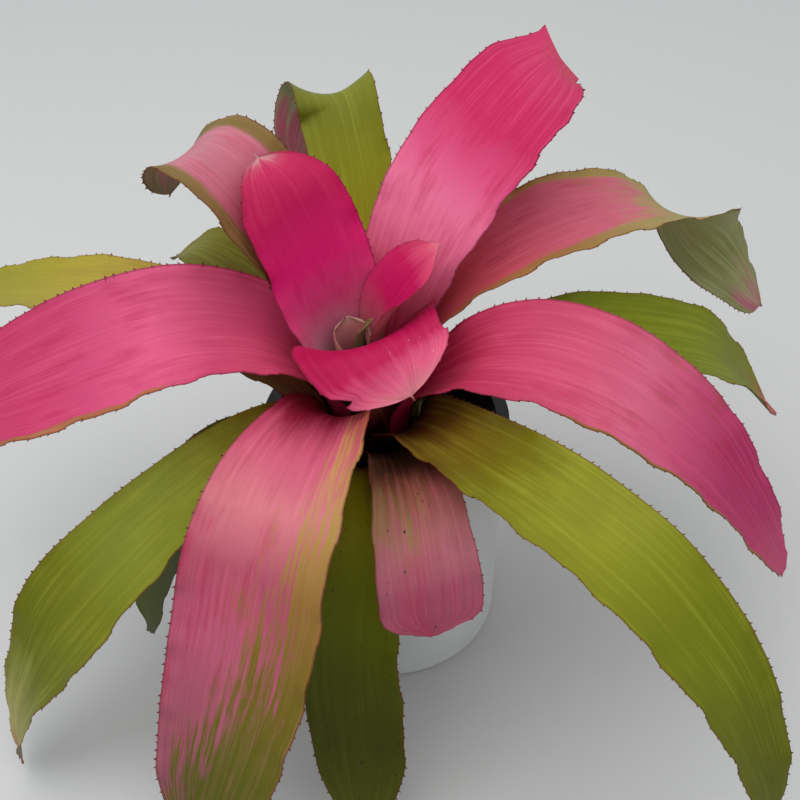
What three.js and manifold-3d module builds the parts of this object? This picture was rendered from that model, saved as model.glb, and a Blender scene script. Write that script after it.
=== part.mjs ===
// A potted tank bromeliad: a rosette of strap leaves in a black nursery pot, which hangs by its rim
// in a plain straight-sided container. Millimetres, +Z up. The origin is the centre of the
// container's underside, on the floor. Run with the npm packages three and manifold-3d.
import * as THREE from "three";
import { mergeVertices } from "three/addons/utils/BufferGeometryUtils.js";
import Module from "manifold-3d";

// ---- Driving dimensions ----

const GAP = 0.4; // clearance between pieces that rest on each other
const TURN = 48; // facets round the pots

const container = { radius: 78, height: 172, wall: 3, floor: 6, foot: 2 };
const nursery = { rimRadius: 80, rimHeight: 4, topRadius: 73.5, footRadius: 58, wall: 1.8, floor: 2.5, foot: 14 };
const drain = { count: 6, radius: 6, circle: 40 };
const mix = { edge: 148, middle: 152, reach: 40 };

// The rosette leans to the left, so it has a frame of its own. A leaf's path is given in it.
const rosette = { x: -6, z: 160, lean: 10 };
const crown = { radius: 40, foot: 26, depth: 16 };

const blade = { rows: 15, columns: 6, middle: 1.5, edge: 0.8, tipThin: 0.6, blunt: 0.04 };

// Each leaf, from the heart outwards. path: points of the midrib, [distance from the axis, height,
// and where needed the distance to its left]. width, fold and roll run evenly from the foot to the
// tip: the flat width, the half angle that the blade's section curls through, and its turn about
// the midrib. sheath is the length that clasps the axis, and tip the length that rounds off. blunt
// is the share of the width that is left at the end, and slant how far the left margin runs on
// past the midrib there, and the right one stays back.
const flat = [0, 0, 0, 0, 0, 0, 0];
const channel = [60, 45, 35, 30, 26, 22, 18];
const leaves = [
  {
    name: "leaf_01_heart",
    colour: 0xa5455f,
    heading: 100,
    path: [[10, 0], [10, 50], [11, 88]],
    width: [50, 50, 50, 50, 50, 50, 50],
    fold: [140, 140, 140, 140, 140, 140, 140],
    sheath: 90,
    tip: 14,
  },
  {
    name: "leaf_02_inner_right",
    colour: 0xa60a3c,
    heading: 12,
    path: [[13, 0], [13, 40], [15, 68], [25, 93], [42, 113], [61, 127]],
    width: [26, 26, 28, 37, 52, 56, 44],
    blunt: 0.4,
    sheath: 76,
    tip: 25,
  },
  {
    name: "leaf_03_lip",
    colour: 0xc5064f,
    heading: -70,
    path: [[16, 0], [16, 50], [17, 74], [25, 90, 4], [37, 95, 7], [50, 88, 10], [60, 72, 15]],
    width: [36, 36, 38, 50, 92, 90, 48],
    fold: [60, 60, 50, 36, 26, 20, 15],
    sheath: 55,
    tip: 22,
  },
  {
    name: "leaf_04_upright_left",
    colour: 0xb4114f,
    heading: 132,
    path: [[18.5, 0], [18.5, 45], [19, 85], [20, 120], [27, 152], [37, 176], [52, 190]],
    width: [36, 44, 60, 72, 74, 70, 50],
    sheath: 60,
    tip: 30,
  },
  {
    name: "leaf_05_upright_right",
    colour: 0xd0356f,
    heading: 48,
    path: [[21, 0], [23, 38], [40, 70], [65, 95], [100, 120], [145, 141, -1], [190, 156, -3], [222, 163, -4]],
    width: [30, 46, 74, 94, 104, 102, 92],
    slant: 16,
    blunt: 0.8,
    sheath: 40,
    tip: 30,
  },
  {
    name: "leaf_06_left",
    colour: 0xcd4271,
    heading: 185,
    path: [[23.5, 0], [25, 36], [34, 70], [56, 96], [98, 110], [143, 106], [183, 98], [217, 90], [260, 76]],
    width: [44, 60, 76, 86, 91, 84, 62],
    roll: [0, 0, -15, -26, -28, -25, -20],
    sheath: 40,
    tip: 50,
  },
  {
    name: "leaf_07_right",
    colour: 0xcb3a6b,
    heading: -20,
    path: [
      [26, 0], [28, 26], [40, 44], [58, 59], [86, 73], [119, 76], [152, 66], [185, 43], [214, 12], [237, -28],
      [258, -72],
    ],
    width: [34, 50, 74, 80, 74, 60, 40],
    roll: [0, 5, 12, 14, 10, 5, 0],
    blunt: 0.5,
    sheath: 32,
    tip: 24,
  },
  {
    name: "leaf_08_front_left",
    colour: 0xb8566f,
    heading: -113,
    path: [
      [26, 0], [30, 34], [44, 54], [66, 63, 5], [108, 60, 6], [146, 42, 5], [176, 4, 0], [203, -41, -12],
      [230, -90, -27], [244, -124, -36],
    ],
    width: [40, 60, 88, 96, 92, 78, 50],
    sheath: 28,
    tip: 50,
  },
  {
    name: "leaf_09_back_left",
    colour: 0xc4607a,
    heading: 146,
    path: [[21, 0], [22, 45], [27, 92], [37, 140], [54, 178], [79, 196], [104, 187], [123, 160]],
    width: [30, 36, 42, 62, 74, 62, 32],
    sheath: 50,
    tip: 30,
  },
  {
    name: "leaf_10_back_right",
    colour: 0xc46b80,
    heading: 27,
    path: [
      [23.5, 0], [27, 38], [42, 64], [66, 80], [108, 91], [155, 94], [200, 86], [235, 69], [265, 36], [296, -8],
      [318, -50],
    ],
    width: [40, 54, 72, 80, 64, 56, 36],
    roll: [0, 0, 5, 8, -8, -100, -130],
    sheath: 32,
    tip: 30,
  },
  {
    name: "leaf_11_short_front",
    colour: 0x9a4f5a,
    heading: -74,
    path: [
      [36, 0], [39, 14], [49, 23, 4], [66, 29, 5], [92, 37, 3], [113, 38, 1], [133, 32, -3], [147, 18, -7],
      [155, 1, -10], [159, -11, -12],
    ],
    width: [38, 42, 46, 50, 56, 60, 56],
    blunt: 0.4,
    sheath: 16,
    tip: 14,
  },
  {
    name: "leaf_12_front_right",
    colour: 0x8a8a2a,
    heading: -50,
    path: [
      [31, 0], [36, 22], [56, 37], [100, 47, -2], [158, 53, -3], [196, 50, -3], [228, 38, 0], [256, 12, 4],
      [278, -20, 8], [292, -60, 11], [300, -92, 12], [304, -118, 12],
    ],
    width: [44, 54, 62, 62, 56, 42, 28],
    sheath: 20,
    tip: 50,
  },
  {
    name: "leaf_13_back",
    colour: 0x6f7c1c,
    heading: 78,
    path: [
      [31, 0], [36, 22], [50, 46, 5], [72, 68, 10], [95, 90, 15], [117, 118, 18], [134, 142, 23], [151, 164, 31],
      [166, 158, 48], [176, 136, 68], [182, 104, 84],
    ],
    width: [40, 50, 54, 56, 58, 50, 36],
    sheath: 22,
    tip: 30,
  },
  {
    name: "leaf_14_right",
    colour: 0x66781a,
    heading: 6,
    path: [[28.5, 0], [32, 24], [44, 38], [68, 44], [104, 47], [141, 46], [189, 30], [227, 8], [264, -50]],
    width: [32, 38, 54, 66, 70, 73, 60],
    roll: [0, 0, 5, 8, 8, 4, 0],
    sheath: 26,
    tip: 26,
  },
  {
    name: "leaf_15_front_left",
    colour: 0x5c6f1b,
    heading: -146,
    path: [
      [28.5, 0], [34, 22], [54, 38], [90, 42], [137, 33], [185, 17], [222, -4, -4], [250, -32, -12], [278, -70, -18],
      [292, -106, -16],
    ],
    width: [42, 52, 60, 68, 72, 52, 28],
    roll: [0, 0, -8, -15, -15, 0, 10],
    sheath: 20,
    tip: 40,
  },
  {
    name: "leaf_16_left",
    colour: 0x6a6a24,
    heading: 141,
    path: [[26, 0], [30, 32], [42, 62], [66, 90], [95, 108], [125, 112], [155, 98]],
    width: [36, 46, 54, 56, 52, 42, 24],
    sheath: 28,
    tip: 30,
  },
  {
    name: "leaf_17_front",
    colour: 0x3c4a08,
    heading: -95,
    path: [
      [38.5, 0], [40, 7], [49, 14, 2], [64, 19, 3], [82, 20, 5], [106, 15, 6], [127, 0, 2], [142, -21, -3],
      [155, -51, -8], [170, -88, -10], [189, -122, -12], [208, -138, -14],
    ],
    width: [38, 44, 50, 56, 60, 54, 34],
    sheath: 12,
    tip: 45,
  },
  {
    name: "leaf_18_far_left",
    colour: 0x7b8a35,
    heading: 160,
    path: [[33.5, 0], [38, 16], [55, 38], [84, 64], [122, 88], [175, 101], [225, 100], [275, 93], [315, 78]],
    width: [38, 48, 58, 62, 60, 52, 36],
    sheath: 18,
    tip: 40,
  },
  {
    name: "leaf_19_low_left",
    colour: 0x2f3d1c,
    heading: -154,
    path: [
      [36, 0], [40, 11], [50, 21], [68, 30], [95, 32], [120, 22, 1], [145, 0, 3], [164, -24, 5], [180, -44, 7],
      [184, -60, 9],
    ],
    width: [40, 50, 60, 66, 70, 68, 56],
    blunt: 0.5,
    sheath: 15,
    tip: 16,
  },
];

// ---- Helpers ----

const wasm = await Module();
wasm.setup();

function toSolid(geometry) {
  const bare = geometry.clone();
  bare.deleteAttribute("normal");
  bare.deleteAttribute("uv");
  const merged = mergeVertices(bare, 1e-4);
  return new wasm.Manifold(
    new wasm.Mesh({
      numProp: 3,
      vertProperties: merged.attributes.position.array,
      triVerts: new Uint32Array(merged.index.array),
    }),
  );
}

function toGeometry(solid) {
  const mesh = solid.getMesh();
  const geometry = new THREE.BufferGeometry();
  geometry.setAttribute("position", new THREE.BufferAttribute(mesh.vertProperties, 3));
  geometry.setIndex(new THREE.BufferAttribute(mesh.triVerts, 1));
  geometry.computeVertexNormals();
  return geometry;
}

function plastic(colour, opacity = 1) {
  return new THREE.MeshStandardMaterial({ color: colour, roughness: 0.4, opacity, transparent: opacity < 1 });
}

function named(name, geometry, material) {
  const mesh = new THREE.Mesh(geometry, material);
  mesh.name = name;
  return mesh;
}

// A lathe about Z. The profile is [radius, height] and runs from the axis, counter-clockwise.
function turned(profile, segments = TURN) {
  const points = profile.map(([radius, height]) => new THREE.Vector2(radius, height));
  return new THREE.LatheGeometry(points, segments).rotateX(Math.PI / 2);
}

// A smooth value along a list whose entries stand at even steps from 0 to 1.
function along(values, t) {
  const last = values.length - 1;
  const x = t * last;
  const i = Math.min(Math.floor(x), last - 1);
  const f = x - i;
  const b = values[i];
  const c = values[i + 1];
  const a = i > 0 ? values[i - 1] : 2 * b - c;
  const d = i + 2 <= last ? values[i + 2] : 2 * c - b;
  return b + 0.5 * f * (c - a + f * (2 * a - 5 * b + 4 * c - d + f * (3 * (b - c) + d - a)));
}

// ---- Leaves ----

// A closed strap: a section curled round the midrib is carried along it, thick in the middle and
// thin at the margins. The curl opens towards the axis, so the sheaths nest.
function leafGeometry(leaf) {
  const points = leaf.path.map(([out, up, side = 0]) => new THREE.Vector3(out, side, up));
  const midrib = new THREE.CatmullRomCurve3(points, false, "catmullrom", 0.5);
  const length = midrib.getLength();
  const root = leaf.path[0][0];
  const { rows, columns } = blade;
  const upper = [];
  const lower = [];
  for (let row = 0; row <= rows; row++) {
    const t = row / rows;
    const centre = midrib.getPointAt(t);
    const run = midrib.getTangentAt(t);
    const across = new THREE.Vector3(0, 1, 0).projectOnPlane(run).normalize();
    across.applyAxisAngle(run, THREE.MathUtils.degToRad(along(leaf.roll ?? flat, t)));
    const face = new THREE.Vector3().crossVectors(run, across);
    const toTip = Math.min(1, ((1 - t) * length) / leaf.tip);
    const rounding = Math.max(leaf.blunt ?? blade.blunt, Math.sqrt(1 - (1 - toTip) ** 2));
    const half = (along(leaf.width, t) / 2) * rounding;
    const opened = THREE.MathUtils.smoothstep(t * length, 0.6 * leaf.sheath, 1.8 * leaf.sheath);
    const curl = THREE.MathUtils.degToRad(along(leaf.fold ?? channel, t));
    const angle = THREE.MathUtils.lerp(half / root, curl, opened);
    for (let column = 0; column <= columns; column++) {
      const u = (2 * column) / columns - 1;
      const turn = u * angle;
      const thickness = THREE.MathUtils.lerp(blade.middle, blade.edge, u * u) * (1 - (1 - blade.tipThin) * t);
      const middle = centre.clone();
      middle.addScaledVector(across, (half * Math.sin(turn)) / angle);
      middle.addScaledVector(face, (half * (1 - Math.cos(turn))) / angle);
      middle.addScaledVector(run, (leaf.slant ?? 0) * u * t ** 4);
      const normal = face.clone().multiplyScalar(Math.cos(turn));
      normal.addScaledVector(across, -Math.sin(turn));
      upper.push(middle.clone().addScaledVector(normal, thickness / 2));
      lower.push(middle.clone().addScaledVector(normal, -thickness / 2));
    }
  }
  return closedSheet(upper, lower, rows, columns);
}

// Two grids of points, one above the other, closed along their four sides.
function closedSheet(upper, lower, rows, columns) {
  const wide = columns + 1;
  const below = upper.length;
  const index = [];
  const quad = (a, b, c, d) => index.push(a, b, c, a, c, d);
  for (let row = 0; row < rows; row++) {
    for (let column = 0; column < columns; column++) {
      const a = row * wide + column;
      quad(a, a + wide, a + wide + 1, a + 1);
      quad(below + a, below + a + 1, below + a + wide + 1, below + a + wide);
    }
    const left = row * wide;
    const right = left + columns;
    quad(left, below + left, below + left + wide, left + wide);
    quad(right, right + wide, below + right + wide, below + right);
  }
  for (let column = 0; column < columns; column++) {
    const foot = column;
    const tip = rows * wide + column;
    quad(foot, foot + 1, below + foot + 1, below + foot);
    quad(tip, below + tip, below + tip + 1, tip + 1);
  }
  const geometry = new THREE.BufferGeometry().setFromPoints([...upper, ...lower]);
  geometry.setIndex(index);
  geometry.computeVertexNormals();
  return geometry;
}

function leafMesh(leaf) {
  const material = new THREE.MeshStandardMaterial({ color: leaf.colour, roughness: 0.45 });
  const mesh = named(leaf.name, leafGeometry(leaf), material);
  mesh.rotation.z = THREE.MathUtils.degToRad(leaf.heading);
  return mesh;
}

// ---- Crown, mix and pots ----

// The short stem that all the leaves grow from: a blunt cone under their feet.
function crownGeometry(clearance = 0) {
  return turned([
    [0, -crown.depth - clearance],
    [crown.foot + clearance, -crown.depth - clearance],
    [crown.radius + clearance, -crown.depth / 2],
    [crown.radius + clearance, -1],
    [crown.radius - 3, -1 + clearance],
    [0, -1 + clearance],
  ], 40);
}

function placeRosette(object) {
  object.position.set(rosette.x, 0, rosette.z);
  object.rotation.y = THREE.MathUtils.degToRad(-rosette.lean);
  object.updateMatrix();
  return object;
}

// Inner radius of the tapered nursery pot at a height.
function nurseryRadius(z) {
  const top = container.height + GAP;
  const share = (z - nursery.foot) / (top - nursery.foot);
  return THREE.MathUtils.lerp(nursery.footRadius, nursery.topRadius, share) - nursery.wall;
}

// Potting mix, gently mounded, with a pocket that the crown sits in.
function mixGeometry() {
  const foot = nursery.foot + nursery.floor + GAP;
  const body = turned([
    [0, foot],
    [nurseryRadius(foot) - GAP, foot],
    [nurseryRadius(mix.edge) - GAP, mix.edge],
    [mix.reach, mix.middle],
    [0, mix.middle],
  ]);
  const pocket = crownGeometry(GAP).applyMatrix4(placeRosette(new THREE.Object3D()).matrix);
  return toGeometry(toSolid(body).subtract(toSolid(pocket)));
}

// Black tapered pot with a rim that hooks over the container, and drain holes in its floor.
function nurseryGeometry() {
  const { rimRadius, rimHeight, topRadius, footRadius, wall, floor, foot } = nursery;
  const under = container.height + GAP;
  const top = under + rimHeight;
  const shell = turned([
    [0, foot],
    [footRadius - 2, foot],
    [footRadius, foot + 2],
    [topRadius, under],
    [rimRadius, under],
    [rimRadius, top - 1],
    [rimRadius - 1, top],
    [topRadius - wall + 1, top],
    [topRadius - wall, top - 1],
    [topRadius - wall, under],
    [footRadius - wall, foot + floor],
    [0, foot + floor],
  ]);
  let solid = toSolid(shell);
  for (let hole = 0; hole < drain.count; hole++) {
    const angle = (2 * Math.PI * hole) / drain.count;
    const cutter = new THREE.CylinderGeometry(drain.radius, drain.radius, 4 * floor, 16).rotateX(Math.PI / 2);
    cutter.translate(drain.circle * Math.cos(angle), drain.circle * Math.sin(angle), foot);
    solid = solid.subtract(toSolid(cutter));
  }
  return toGeometry(solid);
}

// Straight-sided frosted container with a flat underside.
function containerGeometry() {
  const { radius, height, wall, floor, foot } = container;
  return turned([
    [0, 0],
    [radius - foot, 0],
    [radius, foot],
    [radius, height - 1],
    [radius - 0.8, height],
    [radius - wall + 0.8, height],
    [radius - wall, height - 1],
    [radius - wall, floor + 2],
    [radius - wall - 2, floor],
    [0, floor],
  ]);
}

// ---- Scene graph ----

const plant = placeRosette(new THREE.Group());
const stem = new THREE.MeshStandardMaterial({ color: 0x4a3f26, roughness: 0.9 });
plant.add(named("crown_base", crownGeometry(), stem));
for (const leaf of leaves) {
  plant.add(leafMesh(leaf));
}

const earth = new THREE.MeshStandardMaterial({ color: 0x1d1510, roughness: 1 });
const bromeliad = new THREE.Group();
bromeliad.add(plant);
bromeliad.add(named("potting_mix", mixGeometry(), earth));
bromeliad.add(named("nursery_pot", nurseryGeometry(), plastic(0x0b0b0c)));
bromeliad.add(named("outer_pot", containerGeometry(), plastic(0xe8ebee, 0.6)));

export default bromeliad;
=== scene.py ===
import bisect
import math
import random

import bpy
from mathutils import Matrix, Vector


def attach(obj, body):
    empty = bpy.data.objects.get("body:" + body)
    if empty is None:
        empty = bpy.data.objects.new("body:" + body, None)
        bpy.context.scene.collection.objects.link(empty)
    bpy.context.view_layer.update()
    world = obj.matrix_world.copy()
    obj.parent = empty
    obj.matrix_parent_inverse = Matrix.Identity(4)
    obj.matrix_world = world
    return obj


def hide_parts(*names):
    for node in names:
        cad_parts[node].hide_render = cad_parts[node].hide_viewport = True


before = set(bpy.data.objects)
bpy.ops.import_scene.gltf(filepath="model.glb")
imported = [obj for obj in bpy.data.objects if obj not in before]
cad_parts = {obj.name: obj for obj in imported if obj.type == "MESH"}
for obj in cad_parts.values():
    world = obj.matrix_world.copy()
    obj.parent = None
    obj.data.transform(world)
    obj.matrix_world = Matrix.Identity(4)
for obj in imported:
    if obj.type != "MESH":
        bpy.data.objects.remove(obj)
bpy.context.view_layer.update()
bpy.ops.object.select_all(action="DESELECT")

mm = 0.001


def paint(code):
    # a hex colour as the linear colour that the shaders want
    values = [int(code[i:i + 2], 16) / 255 for i in (0, 2, 4)]
    return [v / 12.92 if v <= 0.04045 else ((v + 0.055) / 1.055) ** 2.4 for v in values] + [1]


# Places and sizes here are in metres, the lens and sensor in millimetres.
studio = {
    "lens": 50, "sensor": 36, "nearest": 0.01,
    "cameraPlace": (0.009, -0.5389, 0.6574),
    "cameraTilt": 49,
    "floorSize": 6,
    "floorColour": "b6b7b6", "floorRoughness": 0.9, "floorShine": 0.1,
    "worldColour": "e4e6e9",
    "worldStrength": 1.2,
    # name: place, aimed at, size, watts, colour
    "lights": {
        "ceilingPanel": [(-0.25, -0.15, 1.7), (0.0, 0.0, 0.2), 1.5, 15, "fffaf4"],
        "windowPanel": [(-1.3, -0.5, 1.1), (0.0, 0.0, 0.2), 1.0, 5, "eef4ff"],
    },
}


def buildStudio():
    tilt = math.radians(studio["cameraTilt"])
    bpy.ops.object.camera_add(location=studio["cameraPlace"], rotation=(tilt, 0, 0))
    camera = bpy.context.object
    camera.name = "camera"
    camera.data.lens = studio["lens"]
    camera.data.sensor_width = studio["sensor"]
    camera.data.clip_start = studio["nearest"]
    bpy.context.scene.camera = camera

    bpy.ops.mesh.primitive_plane_add(size=studio["floorSize"], location=(0, 0, 0))
    floor = bpy.context.object
    floor.name = "floor"
    plain = Finish("floorPaint")
    plain.surface({
        "Base Color": paint(studio["floorColour"]),
        "Roughness": studio["floorRoughness"],
        "Specular IOR Level": studio["floorShine"],
    })
    floor.data.materials.append(plain.material)

    world = bpy.data.worlds.new("studioAir")
    bpy.context.scene.world = world
    world.use_nodes = True
    background = world.node_tree.nodes["Background"]
    background.inputs["Color"].default_value = paint(studio["worldColour"])
    background.inputs["Strength"].default_value = studio["worldStrength"]
    for name, (place, aim, size, watts, colour) in studio["lights"].items():
        turn = (Vector(place) - Vector(aim)).to_track_quat("Z", "Y").to_euler()
        bpy.ops.object.light_add(type="AREA", location=place, rotation=turn)
        lamp = bpy.context.object
        lamp.name = name
        lamp.data.size = size
        lamp.data.energy = watts
        lamp.data.color = paint(colour)[:3]
    bpy.context.scene.view_settings.view_transform = "Standard"
    print("studio ready")


class Wire:
    # a socket that plus, minus, times and so on add Math nodes to
    def __init__(self, finish, socket):
        self.finish = finish
        self.socket = socket

    def output(self, name):
        return Wire(self.finish, self.socket.node.outputs[name])

    def __add__(self, other):
        return self.finish.maths("ADD", self, other)

    __radd__ = __add__

    def __sub__(self, other):
        return self.finish.maths("SUBTRACT", self, other)

    def __rsub__(self, other):
        return self.finish.maths("SUBTRACT", other, self)

    def __mul__(self, other):
        return self.finish.maths("MULTIPLY", self, other)

    __rmul__ = __mul__

    def __truediv__(self, other):
        return self.finish.maths("DIVIDE", self, other)

    def __rtruediv__(self, other):
        return self.finish.maths("DIVIDE", other, self)

    def __abs__(self):
        return self.finish.maths("ABSOLUTE", self)


class Finish:
    # one material and the nodes that are added to it
    def __init__(self, name):
        self.material = bpy.data.materials.new(name)
        self.material.use_nodes = True
        self.tree = self.material.node_tree
        self.tree.nodes.clear()

    def node(self, kind, settings, sockets, output=0):
        made = self.tree.nodes.new("ShaderNode" + kind)
        for key, value in settings.items():
            if key == "stops":
                ramp = made.color_ramp
                for element, (place, colour) in ((0, value[0]), (1, value[-1])):
                    ramp.elements[element].position = place
                    ramp.elements[element].color = colour
                for place, colour in value[1:-1]:
                    ramp.elements.new(place).color = colour
            else:
                setattr(made, key, value)
        for key, value in sockets.items():
            if isinstance(value, Wire):
                self.tree.links.new(value.socket, made.inputs[key])
            else:
                made.inputs[key].default_value = value
        return Wire(self, made.outputs[output])

    def maths(self, operation, *values):
        return self.node("Math", {"operation": operation}, dict(enumerate(values)))

    def smooth(self, value, low, high):
        return self.node("MapRange", {"interpolation_type": "SMOOTHSTEP"},
                         {"Value": value, "From Min": low, "From Max": high})

    def mix(self, factor, a, b, mode="MIX"):
        # sockets 6 and 7 are the Mix node's colours, and output 2 is its colour
        return self.node("Mix", {"data_type": "RGBA", "blend_type": mode}, {0: factor, 6: a, 7: b}, 2)

    def place(self, x, y, z):
        return self.node("CombineXYZ", {}, {0: x, 1: y, 2: z})

    def ownPlace(self):
        return self.node("TexCoord", {}, {}, "Object")

    def noise(self, where, scale, detail, roughness=0.5):
        return self.node("TexNoise", {}, {"Vector": where, "Scale": scale, "Detail": detail,
                                          "Roughness": roughness})

    def ramp(self, value, stops):
        return self.node("ValToRGB", {"stops": stops}, {0: value})

    def colours(self, value, stops):
        return self.ramp(value, [(place, paint(code)) for place, code in stops])

    def bump(self, height, strength, distance):
        return self.node("Bump", {}, {"Height": height, "Strength": strength, "Distance": distance})

    def surface(self, sockets, through=0):
        # through is the share of light that passes a thin leaf
        shader = self.node("BsdfPrincipled", {}, sockets)
        if through:
            glow = self.node("BsdfTranslucent", {}, {"Color": sockets["Base Color"]})
            shader = self.node("MixShader", {}, {0: through, 1: shader, 2: glow})
        output = self.tree.nodes.new("ShaderNodeOutputMaterial")
        self.tree.links.new(shader.socket, output.inputs["Surface"])


# The plant leans to the left, and every leaf is laid out in the plant's own frame.
# From here on, lengths are in millimetres and angles in degrees.
plant = {"x": -6, "z": 160, "lean": 10}
leafCommon = {
    "columns": 16,
    "crowding": 0.35,                    # how much closer the columns stand at the margins
    "rowStep": 1.7,                      # length of one row of faces
    "runStep": 1.5,                      # half the length that gives the midrib's direction
    "pathSteps": 60,                     # short straight pieces between two points of a path
    "channel": [60, 45, 35, 30, 26, 22, 18],
    "flat": [0, 0, 0, 0, 0, 0, 0],
    "opens": (0.6, 1.8),                 # where the sheath starts and ends opening, in its own lengths
    "leastCurl": 0.02,
    "middle": 1.5, "edge": 0.6,          # thickness at the midrib and the margin
    "tipThin": 0.6, "toothThin": 0.4,    # share of the thickness left at the tip and in a tooth
    "blunt": 0.04,                       # least share of the width left at the tip
    "spine": 3.5, "spineWidth": 0.15,    # the spine past the tip, and the share of width it keeps
    "slantRise": 4,                      # power by which a slanted end grows towards the tip
    "seed": 100,
    "toothStart": (2, 5),                # rows before the first tooth
    "toothGap": (3, 5),                  # rows between one tooth and the next
    "toothStop": 4,                      # rows at the tip without teeth
    "toothFree": 4,                      # length at the tip where a tooth doesn't stand out
    "toothSize": (0.7, 1.15),
    "toothOut": 1.35, "toothOn": 0.9, "toothBase": 0.55,
    "toothMap": 1.04,                    # where a tooth's point lies on the leaf's map
    # the wavy margin: length, height and lag of the left side, for a long and a short wave
    "ripple": 1.1, "ripples": [(46, 1, 1.7), (0.47 * 46, 0.5, 2.9)],
    "rippleRise": 4, "rippleTurn": 6.283, "rippleStart": (0, 6), "rippleDraws": 4,
    "smoothAngle": 60,
}

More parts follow.
